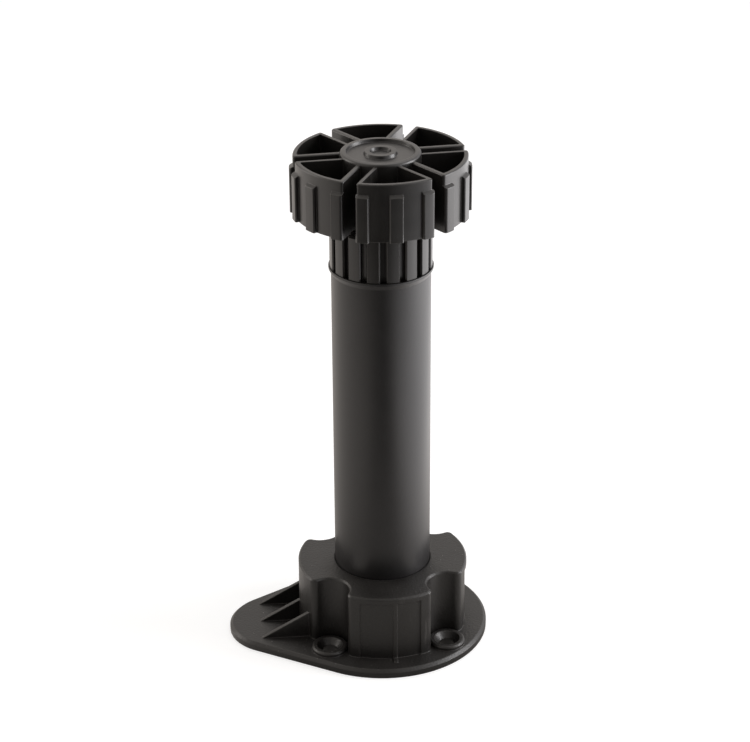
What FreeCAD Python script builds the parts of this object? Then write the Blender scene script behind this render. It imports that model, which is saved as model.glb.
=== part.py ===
import FreeCAD, Part
import math
import os

# Adjustable cabinet leg, standing on its mounting plate with the screw foot uppermost.
# Millimetres. The origin is on the leg's axis at the underside of the plate, +Z runs along
# the leg to the foot, and the drop-shaped tip of the plate points along -X.

# Mounting plate
plate_radius = 33.2
plate_thickness = 2.7
plate_edge_bevel = 0.9
tip_distance = 33.5
tip_radius = 15.6

# Hub of the plate: a socket for the tube with four lobes between screw recesses
hub_radius = 26.7
hub_height = 24.4
hub_wall = 2.3
hub_roof = 2.6
hub_edge_bevel = 0.5
lobe_corner_round = 1.9
socket_floor = 3.4
socket_clearance = 0.05
socket_mouth_widening = 0.15
socket_mouth_depth = 0.5

# Screws: four on a square, each at the foot of a round recess
screw_spacing = 37.0
screw_hole_radius = 2.3
screw_recess_radius = 6.4
screw_boss_radius = 5.6
screw_boss_height = 1.5
screw_boss_bevel = 0.5
screw_sink_radius = 4.0
screw_sink_depth = 1.8

# Sunk panels on three lobes, with the mould's parting ridge between them
panel_depth = 0.5
panel_half_angle = 21.0
panel_rim = 2.0
ridge_offset = 1.4
ridge_width = 1.2
ridge_height = 0.35
ridge_reach = 28.8

# Gusset ribs between the hub and the plate's tip
gusset_spacing = 10.1
gusset_count = 3
gusset_width = 1.35
gusset_reach = 39.4
gusset_slope = 0.57

# Tube
tube_radius = 15.0
tube_wall = 0.8
tube_length = 121.8
flare_radius = 15.75
flare_height = 2.1
flare_lip = 0.7

# Thread collar pressed into the tube, with a ribbed head that stands out of it
collar_clearance = 0.04
collar_insert_length = 21.5
collar_head_height = 14.0
collar_head_radius = 15.4
collar_lead_in = 1.0
collar_foot_lead = 0.5
groove_count = 16
groove_width = 1.7
groove_depth = 1.7
groove_turn = -3.0
groove_sink = 1.0
rib_edge_bevel = 0.45
collar_top_bevel = 0.6

# Screw foot: a hollow threaded spindle that carries six open cups
spindle_radius = 11.2
spindle_clearance = 0.05
spindle_wall = 2.1
spindle_length = 44.0
spindle_lead_in = 1.2
foot_gap = 3.45
foot_height = 17.5
foot_radius = 25.7
sector_count = 6
foot_turn = 4.4
slot_width = 3.8
cup_wall = 1.25
cup_floor = 1.9
cup_edge_bevel = 0.3
cup_corner_round = 0.8
pocket_corner_round = 0.5
pad_proud = 1.1
pad_width_angle = 8.8
pad_pitch_angle = 21.8
pad_top_drop = 3.2
pad_top_bevel = 0.7
pad_edge_bevel = 0.3

# Centre disc of the foot, which closes the spindle
disc_radius = 12.0
disc_proud = 0.8
disc_thickness = 2.3
disc_edge_round = 0.8
disc_edge_steps = 3
disc_rim_width = 1.65
disc_rim_bevel = 0.3
disc_groove_width = 0.5
disc_groove_depth = 0.8
disc_face_drop = 0.5
ring_inner_radius = 2.8
ring_outer_radius = 5.05
ring_height = 0.5
ring_bevel = 0.4

# Heights that follow from the sizes above
plate_middle = plate_thickness / 2
tube_bottom = socket_floor
tube_top = tube_bottom + tube_length
tube_inner = tube_radius - tube_wall
flare_inner = flare_radius - tube_wall
collar_bottom = tube_top - collar_insert_length
collar_top = tube_top + collar_head_height
collar_bore = spindle_radius + spindle_clearance
foot_bottom = collar_top + foot_gap
foot_top = foot_bottom + foot_height
spindle_bottom = foot_bottom - spindle_length
disc_top = foot_top + disc_proud
screw_places = [
    (x * screw_spacing / 2, y * screw_spacing / 2) for x in (-1, 1) for y in (-1, 1)
]

UP = FreeCAD.Vector(0, 0, 1)
CENTRE = FreeCAD.Vector(0, 0, 0)

# How far a cutter runs past what it cuts, and how near two places must be to count as one
OVER = 1.0
NEAR = 0.05
LEVEL = 0.0001


def point(x, y, z):
    return FreeCAD.Vector(x, y, z)


def cylinder(radius, low, high, x=0.0, y=0.0):
    return Part.makeCylinder(radius, high - low, point(x, y, low))


def turned(shape, angle):
    copy = shape.copy()
    copy.rotate(CENTRE, UP, angle)
    return copy


def around(shape, count, first=0.0):
    return [turned(shape, first + 360.0 * k / count) for k in range(count)]


def revolved(profile, angle=360.0):
    """Turn a closed list of (radius, height) corners about the leg's axis."""
    corners = [point(r, 0, z) for r, z in profile]
    face = Part.Face(Part.makePolygon(corners + corners[:1]))
    return face.revolve(CENTRE, UP, angle)


def ring_block(inner, outer, half_angle, low, high):
    """A block of a ring, centred on +X."""
    block = revolved([(inner, low), (outer, low), (outer, high), (inner, high)], 2 * half_angle)
    return turned(block, -half_angle)


def upright_edges(shape, radius):
    """Edges parallel to the axis whose ends are at the given distance from it."""
    found = []
    for edge in shape.Edges:
        ends = [v.Point for v in edge.Vertexes]
        if len(ends) != 2:
            continue
        upright = math.hypot(ends[0].x - ends[1].x, ends[0].y - ends[1].y) < LEVEL
        near = all(abs(math.hypot(p.x, p.y) - radius) < NEAR for p in ends)
        if upright and near:
            found.append(edge)
    return found


def edges_at_height(shape, height):
    found = []
    for edge in shape.Edges:
        box = edge.BoundBox
        if abs(box.ZMin - height) < LEVEL and abs(box.ZMax - height) < LEVEL:
            found.append(edge)
    return found


def plate_slab():
    """The drop-shaped slab: a large and a small circle joined by their tangents."""
    lean = math.acos((plate_radius - tip_radius) / tip_distance)
    big = point(-plate_radius * math.cos(lean), plate_radius * math.sin(lean), 0)
    big_mirror = point(big.x, -big.y, 0)
    tip = point(-tip_distance - tip_radius * math.cos(lean), tip_radius * math.sin(lean), 0)
    tip_mirror = point(tip.x, -tip.y, 0)
    wire = Part.Wire([
        Part.Arc(big, point(plate_radius, 0, 0), big_mirror).toShape(),
        Part.LineSegment(big_mirror, tip_mirror).toShape(),
        Part.Arc(tip_mirror, point(-tip_distance - tip_radius, 0, 0), tip).toShape(),
        Part.LineSegment(tip, big).toShape(),
    ])
    slab = Part.Face(wire).extrude(UP * plate_thickness)
    return slab.makeChamfer(plate_edge_bevel, edges_at_height(slab, plate_thickness))


def hub_body():
    """The lobed hub with rounded corners and top edge, before it is bored."""
    hub = cylinder(hub_radius, 0, hub_height)
    for x, y in screw_places:
        hub = hub.cut(cylinder(screw_recess_radius, -OVER, hub_height + OVER, x, y))
    hub = hub.makeFillet(lobe_corner_round, upright_edges(hub, hub_radius))
    return hub.makeChamfer(hub_edge_bevel, edges_at_height(hub, hub_height))


def lobe_panels():
    """Cutters for the sunk panels, split by the parting ridge on the two lobes across X."""
    low = plate_thickness
    high = hub_height - panel_rim
    panel = ring_block(hub_radius - panel_depth, hub_radius + OVER, panel_half_angle, low, high)
    cutters = [panel]
    ridge = Part.makeBox(
        ridge_width, 2 * hub_radius, high, point(ridge_offset - ridge_width / 2, -hub_radius, 0))
    for angle in (-90, 90):
        cutters.append(turned(panel, angle).cut(ridge))
    return cutters


def lobe_cores():
    """Cutter for the cores under the lobes, which leave even walls round socket and screws."""
    inner = tube_radius + socket_clearance + hub_wall
    high = hub_height - hub_roof
    core = cylinder(hub_radius - hub_wall, -OVER, high).cut(cylinder(inner, -OVER, high))
    for x, y in screw_places:
        core = core.cut(cylinder(screw_recess_radius + hub_wall, -OVER, high, x, y))
    return core


def gussets():
    """Thin ribs that fall from the hub to the plate's tip."""
    inside = hub_radius - hub_wall / 2
    ribs = []
    for k in range(gusset_count):
        y = (k - (gusset_count - 1) / 2) * gusset_spacing
        start = y - gusset_width / 2
        rise = gusset_slope * (gusset_reach - tube_radius)
        corners = [
            point(-gusset_reach, start, plate_middle),
            point(-tube_radius, start, plate_middle),
            point(-tube_radius, start, plate_thickness + rise),
            point(-gusset_reach, start, plate_thickness),
        ]
        face = Part.Face(Part.makePolygon(corners + corners[:1]))
        rib = face.extrude(point(0, gusset_width, 0))
        ribs.append(rib.cut(cylinder(inside, -OVER, hub_height)))
    return ribs


def parting_ridges():
    """Fine ridges that run from the hub's panels out over the plate."""
    start = hub_radius - hub_wall / 2
    high = plate_thickness - plate_middle + ridge_height
    ridges = []
    for y in (start, -ridge_reach):
        corner = point(ridge_offset - ridge_width / 2, y, plate_middle)
        ridges.append(Part.makeBox(ridge_width, ridge_reach - start, high, corner))
    return ridges


def screw_boss(x, y):
    high = plate_thickness + screw_boss_height
    boss = revolved([
        (0, 0),
        (screw_boss_radius, 0),
        (screw_boss_radius, high - screw_boss_bevel),
        (screw_boss_radius - screw_boss_bevel, high),
        (0, high),
    ])
    boss.translate(point(x, y, 0))
    return boss


def screw_hole(x, y):
    high = plate_thickness + screw_boss_height
    sink = Part.makeCone(
        screw_hole_radius, screw_sink_radius, screw_sink_depth,
        point(x, y, high - screw_sink_depth))
    mouth = cylinder(screw_sink_radius, high, hub_height, x, y)
    return cylinder(screw_hole_radius, -OVER, high, x, y).fuse([sink, mouth])


def socket():
    """Cutter for the tube's socket with its widened mouth."""
    bore = tube_radius + socket_clearance
    mouth = bore + socket_mouth_widening
    return revolved([
        (0, socket_floor),
        (bore, socket_floor),
        (bore, hub_height - socket_mouth_depth),
        (mouth, hub_height - socket_mouth_depth / 2),
        (mouth, hub_height + OVER),
        (0, hub_height + OVER),
    ])


def mounting_plate():
    hub = hub_body()
    for panel in lobe_panels():
        hub = hub.cut(panel)
    bosses = [screw_boss(x, y) for x, y in screw_places]
    plate = plate_slab().fuse([hub] + bosses + gussets() + parting_ridges())
    plate = plate.cut(lobe_cores()).cut(socket())
    for x, y in screw_places:
        plate = plate.cut(screw_hole(x, y))
    return plate.removeSplitter()


def leg_tube():
    """Thin round tube with its upper rim flared out for the collar."""
    cone_top = tube_top - flare_lip
    cone_bottom = tube_top - flare_height
    return revolved([
        (tube_inner, tube_bottom),
        (tube_radius, tube_bottom),
        (tube_radius, cone_bottom),
        (flare_radius, cone_top),
        (flare_radius, tube_top),
        (flare_inner, tube_top),
        (flare_inner, cone_top),
        (tube_inner, cone_bottom),
    ])


def collar_groove():
    """Cutter for one groove, whose mouth widens to bevel the ribs beside it."""
    low = tube_top - groove_sink
    half = groove_width / 2
    bevel = collar_head_radius - rib_edge_bevel
    widened = half + rib_edge_bevel + OVER
    corners = [
        point(collar_head_radius - groove_depth, -half, low),
        point(bevel, -half, low),
        point(collar_head_radius + OVER, -widened, low),
        point(collar_head_radius + OVER, widened, low),
        point(bevel, half, low),
        point(collar_head_radius - groove_depth, half, low),
    ]
    face = Part.Face(Part.makePolygon(corners + corners[:1]))
    return face.extrude(UP * (collar_top + OVER - low))


def thread_collar():
    """Bush that holds the spindle, with ribs round the head between its cut grooves."""
    insert = tube_inner - collar_clearance
    seat = flare_inner - collar_clearance
    cone_bottom = tube_top - flare_height + collar_clearance
    cone_top = tube_top - flare_lip + collar_clearance
    collar = revolved([
        (collar_bore + collar_foot_lead, collar_bottom),
        (insert - collar_foot_lead, collar_bottom),
        (insert, collar_bottom + collar_lead_in),
        (insert, cone_bottom),
        (seat, cone_top),
        (seat, tube_top + collar_clearance),
        (collar_head_radius, tube_top + collar_clearance),
        (collar_head_radius, collar_top - collar_top_bevel),
        (collar_head_radius - collar_top_bevel, collar_top),
        (collar_bore + collar_lead_in, collar_top),
        (collar_bore, collar_top - collar_lead_in),
        (collar_bore, collar_bottom + collar_foot_lead),
    ])
    collar = collar.cut(around(collar_groove(), groove_count, groove_turn - 90))
    return collar.removeSplitter()


def sector_block(side_gap, radius, corner_round, low, high):
    """A wedge centred on +X, with rounded corners, whose sides run parallel to the slots."""
    half = math.radians(180.0 / sector_count)
    apex = point(side_gap / math.sin(half), 0, low)
    corner = half - math.asin(side_gap / radius)
    left = point(radius * math.cos(corner), radius * math.sin(corner), low)
    right = point(left.x, -left.y, low)
    wire = Part.Wire([
        Part.LineSegment(apex, right).toShape(),
        Part.Arc(right, point(radius, 0, low), left).toShape(),
        Part.LineSegment(left, apex).toShape(),
    ])
    block = Part.Face(wire).extrude(UP * (high - low))
    return block.makeFillet(corner_round, upright_edges(block, radius))


def grip_pads():
    """Three raised pads on a sector's wall, with bevelled tops."""
    high = foot_top - pad_top_drop
    outer = foot_radius + pad_proud
    inner = foot_radius - cup_wall / 2
    profile = [
        (inner, foot_bottom),
        (outer, foot_bottom),
        (outer, high - pad_top_bevel),
        (foot_radius, high),
        (inner, high),
    ]
    pad = revolved(profile, pad_width_angle)
    pad = pad.makeChamfer(pad_edge_bevel, upright_edges(pad, outer))
    pads = [turned(pad, k * pad_pitch_angle - pad_width_angle / 2) for k in (-1, 0, 1)]
    reach = sector_block(slot_width / 2, outer, cup_corner_round, foot_bottom, foot_top)
    return [p.common(reach) for p in pads]


def foot_cup():
    """One of the foot's sectors: a thin-walled cup, open at the floor side, with grip pads."""
    block = sector_block(slot_width / 2, foot_radius, cup_corner_round, foot_bottom, foot_top)
    block = block.makeChamfer(cup_edge_bevel, edges_at_height(block, foot_top))
    cup = block.fuse(grip_pads())
    pocket = sector_block(
        slot_width / 2 + cup_wall, foot_radius - cup_wall, pocket_corner_round,
        foot_bottom + cup_floor, foot_top + OVER)
    cup = cup.cut(pocket.cut(cylinder(disc_radius - OVER, foot_bottom, foot_top + OVER)))
    return cup.removeSplitter()


def disc_edge():
    """Corners of the disc's rounded edge, from its side to its top."""
    steps = [math.radians(90.0 * k / disc_edge_steps) for k in range(disc_edge_steps + 1)]
    middle = (disc_radius - disc_edge_round, disc_top - disc_edge_round)
    return [
        (middle[0] + disc_edge_round * math.cos(a), middle[1] + disc_edge_round * math.sin(a))
        for a in steps
    ]


def foot_core():
    """Spindle, hub and centre disc as one hollow turning."""
    bore = spindle_radius - spindle_wall
    groove_outer = disc_radius - disc_rim_width
    groove_inner = groove_outer - disc_groove_width
    face = disc_top - disc_face_drop
    return revolved([
        (bore, spindle_bottom),
        (spindle_radius - spindle_lead_in, spindle_bottom),
        (spindle_radius, spindle_bottom + spindle_lead_in),
        (spindle_radius, foot_bottom),
        (disc_radius, foot_bottom),
        *disc_edge(),
        (groove_outer + disc_rim_bevel, disc_top),
        (groove_outer, disc_top - disc_groove_depth),
        (groove_inner, disc_top - disc_groove_depth),
        (groove_inner, face),
        (ring_outer_radius, face),
        (ring_outer_radius - ring_bevel, face + ring_height),
        (ring_inner_radius + ring_bevel, face + ring_height),
        (ring_inner_radius, face),
        (0, face),
        (0, disc_top - disc_thickness),
        (bore, disc_top - disc_thickness),
    ])


def adjusting_foot():
    cups = around(foot_cup(), sector_count, foot_turn - 90)
    core = foot_core()
    hollow = cylinder(spindle_radius - spindle_wall, spindle_bottom, disc_top - disc_thickness)
    cleared = [cup.cut(hollow) for cup in cups]
    top = cylinder(disc_radius - cup_wall, disc_top - disc_thickness - OVER, disc_top)
    cleared = [cup.cut(top) for cup in cleared]
    return core.fuse(cleared).removeSplitter()


pieces = {
    "mounting_plate": mounting_plate(),
    "leg_tube": leg_tube(),
    "thread_collar": thread_collar(),
    "adjusting_foot": adjusting_foot(),
}

os.makedirs("parts", exist_ok=True)
for name, shape in pieces.items():
    shape.exportStep("parts/" + name + ".step")
    box = shape.optimalBoundingBox()
    print(
        name, "solids", len(shape.Solids), "valid", shape.isValid(),
        "volume", round(shape.Volume), "mm3, z", round(box.ZMin, 2), "to", round(box.ZMax, 2))
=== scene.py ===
import math

import bmesh
import bpy
from mathutils import Matrix, Vector


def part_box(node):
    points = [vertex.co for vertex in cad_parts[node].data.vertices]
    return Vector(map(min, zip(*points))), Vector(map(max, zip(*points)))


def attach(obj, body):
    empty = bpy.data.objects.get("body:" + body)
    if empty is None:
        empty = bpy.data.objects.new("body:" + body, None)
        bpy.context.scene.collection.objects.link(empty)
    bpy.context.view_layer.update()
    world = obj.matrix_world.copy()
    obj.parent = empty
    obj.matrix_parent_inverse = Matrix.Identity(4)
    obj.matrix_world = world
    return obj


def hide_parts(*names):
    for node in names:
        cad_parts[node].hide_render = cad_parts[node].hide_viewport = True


# An adjustable cabinet leg: satin black plate, collar and foot on a matt black tube.
# Lengths are in metres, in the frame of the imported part.

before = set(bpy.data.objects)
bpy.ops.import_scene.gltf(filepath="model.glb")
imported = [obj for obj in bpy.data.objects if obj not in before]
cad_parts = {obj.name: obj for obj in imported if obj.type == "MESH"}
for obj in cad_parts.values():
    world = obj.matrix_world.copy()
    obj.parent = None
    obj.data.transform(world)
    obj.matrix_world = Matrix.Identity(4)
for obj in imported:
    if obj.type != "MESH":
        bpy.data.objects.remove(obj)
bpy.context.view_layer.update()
MM = 0.001

# Camera, fitted to the outline of the leg in the picture
CAMERA_AZIMUTH = -5.26
CAMERA_ELEVATION = 25.96
CAMERA_DISTANCE = 0.6781
CAMERA_LENS = 106.68
CAMERA_SENSOR = 36.0
CAMERA_ROLL = -0.36
AIM_HEIGHT = 0.0896
AIM_SIDE = -0.0020

# Colours of the finishes
PLASTIC_BLACK = (0.0098, 0.0089, 0.0081)
# Lighter colour of edges: partly edge wear, partly a painted highlight along the bevels
PLASTIC_EDGE_WEAR_AND_HIGHLIGHT = (0.036, 0.033, 0.031)
TUBE_BLACK = (0.0095, 0.0089, 0.0092)
RUBBED_GREY = (0.075, 0.070, 0.066)
DUST_GREY = (0.19, 0.18, 0.17)

# How far the finishes vary
TONE_SWING = (0.75, 1.25)
TONE_SHARE = 0.6
COARSE_ROUGHNESS = 0.12
MARK_SHARE = 0.5
MARK_ROUGHNESS = 0.12
BEVEL_SAMPLES = 6

# Spindle thread, cut into the foot's plain spindle
THREAD_PITCH = 4.2 * MM
THREAD_ROOT = 10.1 * MM
SPINDLE_RADIUS = 11.2 * MM
SPINDLE_BORE = 9.1 * MM
SPINDLE_LENGTH = 44.0 * MM
SPINDLE_SIDES = 72
THREAD_RUNOUT = 1.0 * MM
THREAD_STEPS = 56
# Radius, and height in thirds of the pitch: crest, flank, root and flank
THREAD_PROFILE = [
    (SPINDLE_RADIUS, 0.0), (SPINDLE_RADIUS, 0.55), (THREAD_ROOT, 1.35),
    (THREAD_ROOT, 2.2), (SPINDLE_RADIUS, 3.0)]
# At its free end the spindle starts this far inside the thread's root
LEAD_IN = 0.1 * MM

# Edges of the new pieces that turn by more than this are sharp
SHARP_ANGLE = math.radians(35)
WELD = 0.0005 * MM
THREAD_WELD = 0.002 * MM
CUT_WELD = 0.0001 * MM
RING_SLACK = 0.02 * MM

# Disc in the middle of the foot: its rim grows inwards, and the face and groove inside the
# rim, all that lies lower than FACE_TOP under it, go down to one level
RIM_INSIDE = 10.7 * MM
RIM_GROWTH = 0.45 * MM
FACE_DEPTH = 0.95 * MM
FACE_TOP = FACE_DEPTH / 2.5

# Floor and backdrop
FLOOR_WHITE = (0.55, 0.55, 0.55)
FLOOR_SIZE = 12.0
FLOOR_DROP = 0.05 * MM
FLOOR_GLOW = 0.60
FOOTPRINT = 31.0 * MM
FOOTPRINT_EDGE = 2 * MM
BACKDROP_WHITE = 1.0
DOME_STRENGTH = 0.50
DOME_COLOUR = (1.0, 0.97, 0.94)

# The studio in reflections. The backdrop runs round behind the leg and beside it, brightest
# on the right, and the side that the picture was taken from is dark.
FLOOR_LEVELS = {"near": 0.74, "far": 0.03, "behind": 0.90, "left": 1.16, "right": 3.1}
ROOM_LEVELS = {"near": 0.96, "far": 0.04, "behind": 1.00, "left": 0.90, "right": 1.7}
LEFT_COLOUR = (1.0, 0.93, 0.87)
RIGHT_COLOUR = (1.0, 0.975, 0.98)
FLOOR_REACH = 0.3
# Where each part of it fades, in shares of the reach: y for the first four, else x
FRONT_FADE = (-1.0, -0.1)
BEHIND_FADE = (-0.15, 0.4)
SIDES_FADE = (-1.0, -0.5)
RIGHT_BEHIND_FADE = (0.1, 0.9)
RIGHT_FADE = (0.06, 0.38)
RIGHT_FAR_FADE = (0.7, 1.0)
LEFT_FADE = (-0.36, -0.06)
TINT_FADE = (0.0, 0.6)
# What is left of the sides in front, and of the right side near, far out and behind
SIDES_IN_FRONT = 0.15
RIGHT_NEAR = 0.8
RIGHT_FAR = 1.30
RIGHT_BEHIND = 0.72
# The leg's own shade on the floor round the plate
SHADE_EDGES = (34 * MM, 50 * MM)
SHADE_SHARE = 0.50


def feed(tree, socket, value):
    """Give a socket a number, a colour or a link."""
    if isinstance(value, (int, float)):
        socket.default_value = value
    elif isinstance(value, tuple):
        socket.default_value = (*value, 1.0)
    else:
        tree.links.new(value, socket)


def place_group(tree, group, **values):
    """Place a node group in a tree and set its named inputs."""
    node = tree.nodes.new("ShaderNodeGroup")
    node.node_tree = group
    for name, value in values.items():
        node.inputs[name.replace("_", " ")].default_value = value
    return node


def new_group(name, inputs, outputs):
    tree = bpy.data.node_groups.new(name, "ShaderNodeTree")
    for label, value in inputs.items():
        socket = tree.interface.new_socket(
            name=label, in_out="INPUT", socket_type="NodeSocketFloat")
        socket.default_value = value
    for label, kind in outputs.items():
        tree.interface.new_socket(name=label, in_out="OUTPUT", socket_type=kind)
    return tree, tree.nodes.new("NodeGroupInput"), tree.nodes.new("NodeGroupOutput")


def math_node(tree, operation, first, second):
    node = tree.nodes.new("ShaderNodeMath")
    node.operation = operation
    for socket, value in zip(node.inputs, (first, second)):
        feed(tree, socket, value)
    return node.outputs[0]


def smooth_ramp(tree, value, low, high, bottom, top):
    """A smooth change from bottom to top as the value goes from low to high."""
    ramp = tree.nodes.new("ShaderNodeMapRange")
    ramp.interpolation_type = "SMOOTHSTEP"
    ends = {"From Min": low, "From Max": high, "To Min": bottom, "To Max": top}
    for name, number in ends.items():
        ramp.inputs[name].default_value = number
    tree.links.new(value, ramp.inputs["Value"])
    return ramp.outputs["Result"]


def mix_colour(tree, factor, first, second, blend="MIX"):
    mix = tree.nodes.new("ShaderNodeMix")
    mix.data_type = "RGBA"
    mix.blend_type = blend
    for name, value in (("Factor", factor), ("A", first), ("B", second)):
        feed(tree, mix.inputs[name], value)
    return mix.outputs["Result"]


def noise(tree, vector, scale, detail):
    node = tree.nodes.new("ShaderNodeTexNoise")
    node.inputs["Detail"].default_value = detail
    tree.links.new(vector, node.inputs["Vector"])
    tree.links.new(scale, node.inputs["Scale"])
    return node


def upturned(tree, low, high, bottom, top):
    """Top where the surface faces up, and bottom where it stands upright or faces down."""
    face = tree.nodes.new("ShaderNodeNewGeometry")
    axes = tree.nodes.new("ShaderNodeSeparateXYZ")
    tree.links.new(face.outputs["Normal"], axes.inputs["Vector"])
    return smooth_ramp(tree, axes.outputs["Z"], low, high, bottom, top)


def soft_edge_group():
    """Rounds sharp edges in the shading and gives a mask of where they are."""
    tree, given, out = new_group(
        "soft edges", {"Radius": 0.0003, "Reach": 6.0},
        {"Mask": "NodeSocketFloat", "Normal": "NodeSocketVector"})
    bevel = tree.nodes.new("ShaderNodeBevel")
    bevel.samples = BEVEL_SAMPLES
    tree.links.new(given.outputs["Radius"], bevel.inputs["Radius"])
    face = tree.nodes.new("ShaderNodeNewGeometry")
    dot = tree.nodes.new("ShaderNodeVectorMath")
    dot.operation = "DOT_PRODUCT"
    tree.links.new(bevel.outputs["Normal"], dot.inputs[0])
    tree.links.new(face.outputs["Normal"], dot.inputs[1])
    turn = math_node(tree, "SUBTRACT", 1.0, dot.outputs["Value"])
    mask = math_node(tree, "MULTIPLY", turn, given.outputs["Reach"])
    clamp = tree.nodes.new("ShaderNodeClamp")
    tree.links.new(mask, clamp.inputs["Value"])
    tree.links.new(clamp.outputs["Result"], out.inputs["Mask"])
    tree.links.new(bevel.outputs["Normal"], out.inputs["Normal"])
    return tree


def mould_grain_group():
    """Fine spark-eroded grain, coarser on top, with broad, faint differences in gloss."""
    tree, given, out = new_group(
        "mould grain",
        {"Grain Scale": 9000.0, "Blotch Scale": 120.0, "Blotch": 0.05, "Roughness": 0.35,
         "Coarse": 0.0},
        {"Height": "NodeSocketFloat", "Roughness": "NodeSocketFloat", "Tone": "NodeSocketFloat"})
    place = tree.nodes.new("ShaderNodeTexCoord")
    grain = noise(tree, place.outputs["Object"], given.outputs["Grain Scale"], 3.0)
    blotch = noise(tree, place.outputs["Object"], given.outputs["Blotch Scale"], 4.0)
    centred = math_node(tree, "SUBTRACT", blotch.outputs["Fac"], 0.5)
    swing = math_node(tree, "MULTIPLY", centred, given.outputs["Blotch"])
    rough = math_node(tree, "ADD", given.outputs["Roughness"], swing)
    up = upturned(tree, 0.6, 0.95, 0.0, 1.0)
    coarse = math_node(tree, "MULTIPLY", up, given.outputs["Coarse"])
    rough = math_node(
        tree, "ADD", rough, math_node(tree, "MULTIPLY", coarse, COARSE_ROUGHNESS))
    height = math_node(
        tree, "MULTIPLY", grain.outputs["Fac"], math_node(tree, "ADD", coarse, 1.0))
    tree.links.new(height, out.inputs["Height"])
    tree.links.new(rough, out.inputs["Roughness"])
    tree.links.new(blotch.outputs["Fac"], out.inputs["Tone"])
    return tree


def rub_marks_group():
    """Sparse short scratches, longer along one axis, gathered in a few rubbed patches."""
    tree, given, out = new_group(
        "rub marks", {"Scale": 260.0, "Stretch": 0.08, "Patch Scale": 40.0, "Patches": 0.56},
        {"Mask": "NodeSocketFloat"})
    place = tree.nodes.new("ShaderNodeTexCoord")
    squeeze = tree.nodes.new("ShaderNodeCombineXYZ")
    squeeze.inputs["X"].default_value = 1.0
    squeeze.inputs["Y"].default_value = 1.0
    tree.links.new(given.outputs["Stretch"], squeeze.inputs["Z"])
    drawn = tree.nodes.new("ShaderNodeVectorMath")
    drawn.operation = "MULTIPLY"
    tree.links.new(place.outputs["Object"], drawn.inputs[0])
    tree.links.new(squeeze.outputs["Vector"], drawn.inputs[1])
    lines = noise(tree, drawn.outputs["Vector"], given.outputs["Scale"], 5.0)
    lines.inputs["Roughness"].default_value = 0.65
    fine = smooth_ramp(tree, lines.outputs["Fac"], 0.60, 0.70, 0.0, 1.0)
    patches = noise(tree, place.outputs["Object"], given.outputs["Patch Scale"], 2.0)
    over = math_node(tree, "SUBTRACT", patches.outputs["Fac"], given.outputs["Patches"])
    worn = smooth_ramp(tree, over, 0.0, 0.12, 0.0, 1.0)
    tree.links.new(math_node(tree, "MULTIPLY", fine, worn), out.inputs["Mask"])
    return tree


def dust_group():
    """Scattered pale specks that lie mostly on faces turned up."""
    tree, given, out = new_group(
        "dust specks", {"Scale": 1100.0, "Size": 0.16, "Share": 0.93},
        {"Mask": "NodeSocketFloat"})
    place = tree.nodes.new("ShaderNodeTexCoord")
    cells = tree.nodes.new("ShaderNodeTexVoronoi")
    tree.links.new(place.outputs["Object"], cells.inputs["Vector"])
    tree.links.new(given.outputs["Scale"], cells.inputs["Scale"])
    shade = tree.nodes.new("ShaderNodeSeparateColor")
    tree.links.new(cells.outputs["Color"], shade.inputs["Color"])
    chosen = math_node(tree, "GREATER_THAN", shade.outputs["Red"], given.outputs["Share"])
    size = math_node(tree, "MULTIPLY", given.outputs["Size"], shade.outputs["Green"])
    near = math_node(tree, "LESS_THAN", cells.outputs["Distance"], size)
    up = upturned(tree, 0.5, 0.9, 0.12, 1.0)
    mask = math_node(tree, "MULTIPLY", math_node(tree, "MULTIPLY", chosen, near), up)
    tree.links.new(mask, out.inputs["Mask"])
    return tree


def finish_material(
        name, colour, edge_wear_and_highlight_colour, grain, rough, blotch, coarse, bump, edge, specular, rub, dust):
    """A black finish: grain and gloss from the shared groups; edges lighter, partly from wear and
    partly a painted highlight; rubbed places lighter.
    """
    material = bpy.data.materials.new(name)
    material.use_nodes = True
    tree = material.node_tree
    shader = tree.nodes["Principled BSDF"]
    shader.inputs["Specular IOR Level"].default_value = specular
    surface = place_group(
        tree, GRAIN, Grain_Scale=grain, Blotch=blotch, Roughness=rough, Coarse=coarse)
    edges = place_group(tree, SOFT_EDGES, Radius=edge)
    marks = place_group(tree, RUB_MARKS, Patches=rub)
    specks = place_group(tree, DUST, Share=dust)
    tone = smooth_ramp(tree, surface.outputs["Tone"], 0.3, 0.7, *TONE_SWING)
    body = mix_colour(tree, TONE_SHARE, colour, tone, "MULTIPLY")
    # Edges turn lighter: partly edge wear, partly a painted highlight
    body = mix_colour(tree, edges.outputs["Mask"], body, edge_wear_and_highlight_colour)
    rubbed = math_node(tree, "MULTIPLY", marks.outputs["Mask"], MARK_SHARE)
    body = mix_colour(tree, rubbed, body, RUBBED_GREY)
    body = mix_colour(tree, specks.outputs["Mask"], body, DUST_GREY)
    tree.links.new(body, shader.inputs["Base Color"])
    gloss = math_node(tree, "MULTIPLY", marks.outputs["Mask"], MARK_ROUGHNESS)
    gloss = math_node(tree, "ADD", surface.outputs["Roughness"], gloss)
    tree.links.new(gloss, shader.inputs["Roughness"])
    relief = tree.nodes.new("ShaderNodeBump")
    relief.inputs["Strength"].default_value = 1.0
    relief.inputs["Distance"].default_value = bump
    tree.links.new(surface.outputs["Height"], relief.inputs["Height"])
    tree.links.new(edges.outputs["Normal"], relief.inputs["Normal"])
    tree.links.new(relief.outputs["Normal"], shader.inputs["Normal"])
    return material


def paint(node, material):
    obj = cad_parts[node]
    obj.data.materials.clear()
    obj.data.materials.append(material)


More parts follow.
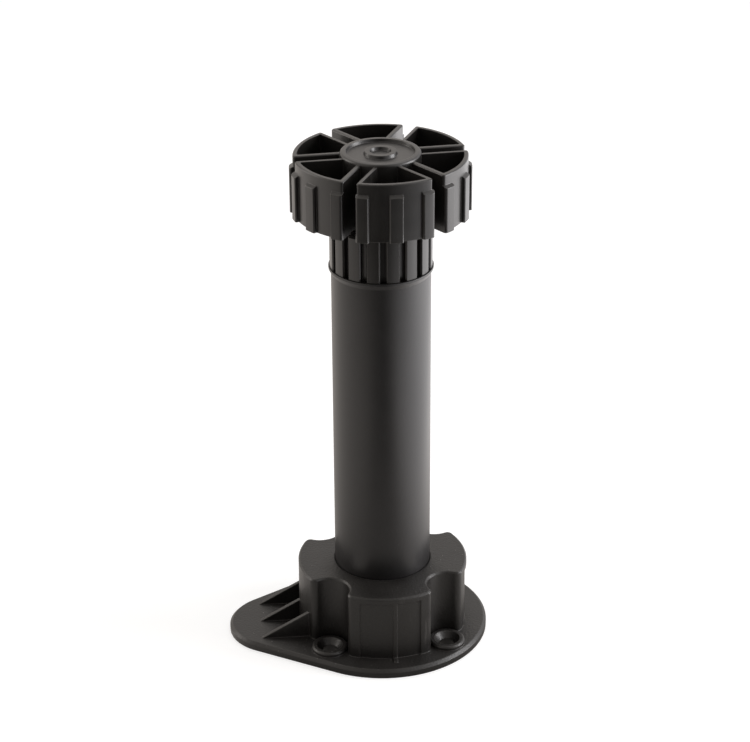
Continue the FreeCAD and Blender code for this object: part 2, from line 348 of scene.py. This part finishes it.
def room_light(tree, place, reach, levels):
    """Strength and tint of what is mirrored in a direction, or at a place on the floor."""
    axes = tree.nodes.new("ShaderNodeSeparateXYZ")
    tree.links.new(place, axes.inputs["Vector"])
    x, y = axes.outputs["X"], axes.outputs["Y"]

    def fade(value, ends, bottom, top):
        return smooth_ramp(tree, value, ends[0] * reach, ends[1] * reach, bottom, top)

    near = levels["near"]
    front = fade(y, FRONT_FADE, levels["far"], near)
    behind = fade(y, BEHIND_FADE, 0.0, levels["behind"] - near)
    middle = math_node(tree, "ADD", front, behind)
    beside = fade(y, SIDES_FADE, SIDES_IN_FRONT, 1.0)
    right = math_node(
        tree, "MULTIPLY", fade(x, RIGHT_FADE, 0.0, RIGHT_NEAR * levels["right"]), beside)
    right = math_node(tree, "MULTIPLY", right, fade(x, RIGHT_FAR_FADE, 1.0, RIGHT_FAR))
    right = math_node(tree, "MULTIPLY", right, fade(y, RIGHT_BEHIND_FADE, 1.0, RIGHT_BEHIND))
    left = math_node(tree, "MULTIPLY", fade(x, LEFT_FADE, levels["left"], 0.0), beside)
    strength = math_node(tree, "MAXIMUM", middle, right)
    strength = math_node(tree, "MAXIMUM", strength, left)
    tint = mix_colour(tree, fade(x, TINT_FADE, 0.0, 1.0), LEFT_COLOUR, RIGHT_COLOUR)
    return strength, tint


def mirror_pick(tree, shown, mirrored, out):
    """The shader shown to the eye and to diffuse light, and another for reflections."""
    path = tree.nodes.new("ShaderNodeLightPath")
    seen = math_node(
        tree, "MAXIMUM", path.outputs["Is Glossy Ray"], path.outputs["Is Transmission Ray"])
    pick = tree.nodes.new("ShaderNodeMixShader")
    tree.links.new(seen, pick.inputs["Fac"])
    tree.links.new(shown, pick.inputs[1])
    tree.links.new(mirrored, pick.inputs[2])
    tree.links.new(pick.outputs[0], out.inputs["Surface"])


def floor_material():
    """White floor that keeps the leg's shadow, lit like the backdrop in reflections."""
    material = bpy.data.materials.new("studio_floor")
    material.use_nodes = True
    tree = material.node_tree
    tree.nodes.clear()
    out = tree.nodes.new("ShaderNodeOutputMaterial")
    path = tree.nodes.new("ShaderNodeLightPath")
    place = tree.nodes.new("ShaderNodeTexCoord")
    distance = tree.nodes.new("ShaderNodeVectorMath")
    distance.operation = "LENGTH"
    tree.links.new(place.outputs["Object"], distance.inputs[0])
    open_floor = smooth_ramp(
        tree, distance.outputs["Value"], FOOTPRINT - FOOTPRINT_EDGE, FOOTPRINT, 0.0, FLOOR_GLOW)
    glow = tree.nodes.new("ShaderNodeEmission")
    shown = math_node(tree, "MULTIPLY", path.outputs["Is Camera Ray"], open_floor)
    tree.links.new(shown, glow.inputs["Strength"])
    matt = tree.nodes.new("ShaderNodeBsdfDiffuse")
    matt.inputs["Color"].default_value = (*FLOOR_WHITE, 1.0)
    both = tree.nodes.new("ShaderNodeAddShader")
    tree.links.new(glow.outputs[0], both.inputs[0])
    tree.links.new(matt.outputs[0], both.inputs[1])
    mirrored = tree.nodes.new("ShaderNodeEmission")
    strength, tint = room_light(tree, place.outputs["Object"], FLOOR_REACH, FLOOR_LEVELS)
    shade = smooth_ramp(tree, distance.outputs["Value"], *SHADE_EDGES, SHADE_SHARE, 1.0)
    tree.links.new(math_node(tree, "MULTIPLY", strength, shade), mirrored.inputs["Strength"])
    tree.links.new(tint, mirrored.inputs["Color"])
    mirror_pick(tree, both.outputs[0], mirrored.outputs[0], out)
    return material


def build_floor():
    mesh = bpy.data.meshes.new("studio_floor")
    shape = bmesh.new()
    bmesh.ops.create_grid(shape, x_segments=1, y_segments=1, size=FLOOR_SIZE / 2)
    shape.to_mesh(mesh)
    shape.free()
    floor = bpy.data.objects.new("studio_floor", mesh)
    floor.location.z = -FLOOR_DROP
    floor.data.materials.append(floor_material())
    bpy.context.scene.collection.objects.link(floor)


def backdrop(tree, colour, strength):
    node = tree.nodes.new("ShaderNodeBackground")
    feed(tree, node.inputs["Color"], colour)
    feed(tree, node.inputs["Strength"], strength)
    return node.outputs[0]


def build_world():
    """White to the camera, the half-dark studio in reflections, and an even dome besides."""
    world = bpy.data.worlds.new("studio")
    world.use_nodes = True
    tree = world.node_tree
    tree.nodes.clear()
    out = tree.nodes.new("ShaderNodeOutputWorld")
    path = tree.nodes.new("ShaderNodeLightPath")
    place = tree.nodes.new("ShaderNodeTexCoord")
    shown = tree.nodes.new("ShaderNodeMixShader")
    tree.links.new(path.outputs["Is Camera Ray"], shown.inputs["Fac"])
    tree.links.new(backdrop(tree, DOME_COLOUR, DOME_STRENGTH), shown.inputs[1])
    tree.links.new(backdrop(tree, (1.0, 1.0, 1.0), BACKDROP_WHITE), shown.inputs[2])
    strength, tint = room_light(tree, place.outputs["Generated"], 1.0, ROOM_LEVELS)
    mirror_pick(tree, shown.outputs[0], backdrop(tree, tint, strength), out)
    bpy.context.scene.world = world


def softbox(name, azimuth, elevation, distance, width, height, power, colour):
    """A rectangular lamp that faces the leg's middle."""
    data = bpy.data.lights.new(name, "AREA")
    data.shape = "RECTANGLE"
    data.size = width
    data.size_y = height
    data.energy = power
    data.color = colour
    lamp = bpy.data.objects.new(name, data)
    a, e = math.radians(azimuth), math.radians(elevation)
    back = Vector((math.sin(a) * math.cos(e), -math.cos(a) * math.cos(e), math.sin(e)))
    lamp.location = Vector((0, 0, AIM_HEIGHT)) + back * distance
    lamp.rotation_mode = "QUATERNION"
    lamp.rotation_quaternion = back.to_track_quat("Z", "Y")
    lamp.visible_camera = False
    bpy.context.scene.collection.objects.link(lamp)


def merged_copy(node):
    """A welded copy of a CAD node's surface to work on."""
    shape = bmesh.new()
    shape.from_mesh(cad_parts[node].data)
    bmesh.ops.remove_doubles(shape, verts=shape.verts, dist=WELD)
    return shape


def add_piece(name, shape, body, slot, material, *nodes):
    mesh = bpy.data.meshes.new(name)
    shape.to_mesh(mesh)
    shape.free()
    # A copy of a CAD surface brings its old normals, which no longer fit
    if "custom_normal" in mesh.attributes:
        mesh.attributes.remove(mesh.attributes["custom_normal"])
    for face in mesh.polygons:
        face.use_smooth = True
    mesh.set_sharp_from_angle(angle=SHARP_ANGLE)
    piece = bpy.data.objects.new(name, mesh)
    bpy.context.scene.collection.objects.link(piece)
    mesh.materials.append(material)
    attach(piece, body)
    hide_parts(*nodes)


def open_edges(shape, height):
    return [
        e for e in shape.edges
        if e.is_boundary and all(abs(v.co.z - height) < RING_SLACK for v in e.verts)
    ]


def cut_below(shape, height, facing=1):
    """Take away all below a height, or above it where facing is -1."""
    bmesh.ops.bisect_plane(
        shape, geom=shape.verts[:] + shape.edges[:] + shape.faces[:], dist=CUT_WELD,
        plane_co=(0, 0, height), plane_no=(0, 0, facing), clear_inner=True)


def sink_face(shape, top):
    """Widen the disc's rim inwards and sink its face and groove to one level."""
    for vert in shape.verts:
        radius = math.hypot(vert.co.x, vert.co.y)
        if radius > RIM_INSIDE or vert.co.z < top - FACE_DEPTH:
            continue
        if radius > RIM_INSIDE - RIM_GROWTH:
            vert.co.x *= 1 - RIM_GROWTH / radius
            vert.co.y *= 1 - RIM_GROWTH / radius
        if vert.co.z < top - FACE_TOP:
            vert.co.z = top - FACE_DEPTH
    bmesh.ops.remove_doubles(shape, verts=shape.verts, dist=WELD)


def foot_head(under, top):
    """The foot's cups and disc, parted from the spindle just below the cups."""
    shape = merged_copy("adjusting_foot")
    sink_face(shape, top)
    cut_below(shape, under)
    bmesh.ops.bridge_loops(shape, edges=open_edges(shape, under))
    return shape


def foot_thread(low, high):
    """The hollow spindle with its coarse rounded thread, narrowed where it starts."""
    shape = bmesh.new()
    third = THREAD_PITCH / 3
    start = low - THREAD_PITCH
    verts = [shape.verts.new((r, 0, start + thirds * third)) for r, thirds in THREAD_PROFILE]
    edges = [shape.edges.new(pair) for pair in zip(verts, verts[1:])]
    turns = math.ceil((high - start) / THREAD_PITCH) + 1
    bmesh.ops.spin(
        shape, geom=verts + edges, cent=(0, 0, 0), axis=(0, 0, 1), angle=2 * math.pi * turns,
        dvec=(0, 0, THREAD_PITCH / THREAD_STEPS), steps=THREAD_STEPS * turns, use_duplicate=False)
    bmesh.ops.remove_doubles(shape, verts=shape.verts, dist=THREAD_WELD)
    cut_below(shape, low)
    cut_below(shape, high, facing=-1)
    for vert in shape.verts:
        radius = math.hypot(vert.co.x, vert.co.y)
        limit = min(SPINDLE_RADIUS, THREAD_ROOT - LEAD_IN + (vert.co.z - low))
        if radius > limit:
            vert.co.x *= limit / radius
            vert.co.y *= limit / radius
    bmesh.ops.create_cone(
        shape, cap_ends=False, segments=SPINDLE_SIDES, radius1=SPINDLE_BORE,
        radius2=SPINDLE_BORE, depth=high - low,
        matrix=Matrix.Translation((0, 0, (low + high) / 2)))
    for height in (low, high):
        bmesh.ops.bridge_loops(shape, edges=open_edges(shape, height))
    bmesh.ops.recalc_face_normals(shape, faces=shape.faces)
    return shape


def build_camera():
    a, e = math.radians(CAMERA_AZIMUTH), math.radians(CAMERA_ELEVATION)
    right = Vector((math.cos(a), math.sin(a), 0))
    ahead = Vector((-math.sin(a) * math.cos(e), math.cos(a) * math.cos(e), -math.sin(e)))
    up = right.cross(ahead)
    aim = Vector((AIM_SIDE * math.cos(a), AIM_SIDE * math.sin(a), AIM_HEIGHT))
    r = math.radians(CAMERA_ROLL)
    right, up = right * math.cos(r) + up * math.sin(r), up * math.cos(r) - right * math.sin(r)
    data = bpy.data.cameras.new("camera")
    data.sensor_width = CAMERA_SENSOR
    data.lens = CAMERA_LENS
    data.clip_start = 0.01
    data.clip_end = 100.0
    camera = bpy.data.objects.new("camera", data)
    turn = Matrix((right, up, -ahead)).transposed()
    camera.matrix_world = Matrix.Translation(aim - ahead * CAMERA_DISTANCE) @ turn.to_4x4()
    bpy.context.scene.collection.objects.link(camera)
    bpy.context.scene.camera = camera


GRAIN = mould_grain_group()
SOFT_EDGES = soft_edge_group()
RUB_MARKS = rub_marks_group()
DUST = dust_group()

plate_finish = finish_material(
    "plate_black", PLASTIC_BLACK, PLASTIC_EDGE_WEAR_AND_HIGHLIGHT, grain=1500.0, rough=0.37, blotch=0.16,
    coarse=1.0, bump=0.065 * MM, edge=0.45 * MM, specular=0.44, rub=0.54, dust=0.86)
collar_finish = finish_material(
    "collar_black", PLASTIC_BLACK, PLASTIC_EDGE_WEAR_AND_HIGHLIGHT, grain=5000.0, rough=0.30, blotch=0.08,
    coarse=0.0, bump=0.0025 * MM, edge=0.25 * MM, specular=0.50, rub=0.60, dust=0.97)
foot_finish = finish_material(
    "foot_black", PLASTIC_BLACK, PLASTIC_EDGE_WEAR_AND_HIGHLIGHT, grain=3000.0, rough=0.33, blotch=0.16,
    coarse=0.4, bump=0.012 * MM, edge=0.30 * MM, specular=0.55, rub=0.54, dust=0.92)
tube_finish = finish_material(
    "tube_black", TUBE_BLACK, TUBE_BLACK, grain=2200.0, rough=0.38, blotch=0.05,
    coarse=0.0, bump=0.010 * MM, edge=0.15 * MM, specular=0.45, rub=0.62, dust=0.97)

paint("mounting_plate", plate_finish)
paint("leg_tube", tube_finish)
paint("thread_collar", collar_finish)

foot_low, foot_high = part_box("adjusting_foot")
cups_low = foot_low.z + SPINDLE_LENGTH
neck = cups_low - THREAD_RUNOUT
add_piece(
    "foot_head", foot_head(neck, foot_high.z), "foot", "foot_plastic", foot_finish,
    "adjusting_foot")
add_piece(
    "foot_thread", foot_thread(foot_low.z, neck), "foot", "foot_plastic", foot_finish,
    "adjusting_foot")

build_floor()
build_world()
softbox(
    "right_softbox", azimuth=84, elevation=10, distance=0.75, width=0.35, height=0.7,
    power=7.0, colour=(1.0, 0.99, 1.0))
softbox(
    "left_softbox", azimuth=-110, elevation=18, distance=0.9, width=0.35, height=0.8,
    power=2.6, colour=(1.0, 0.95, 0.90))
softbox(
    "top_softbox", azimuth=170, elevation=60, distance=1.0, width=0.7, height=0.5,
    power=2.0, colour=(1.0, 0.98, 0.96))
build_camera()
bpy.context.scene.view_settings.view_transform = "Standard"
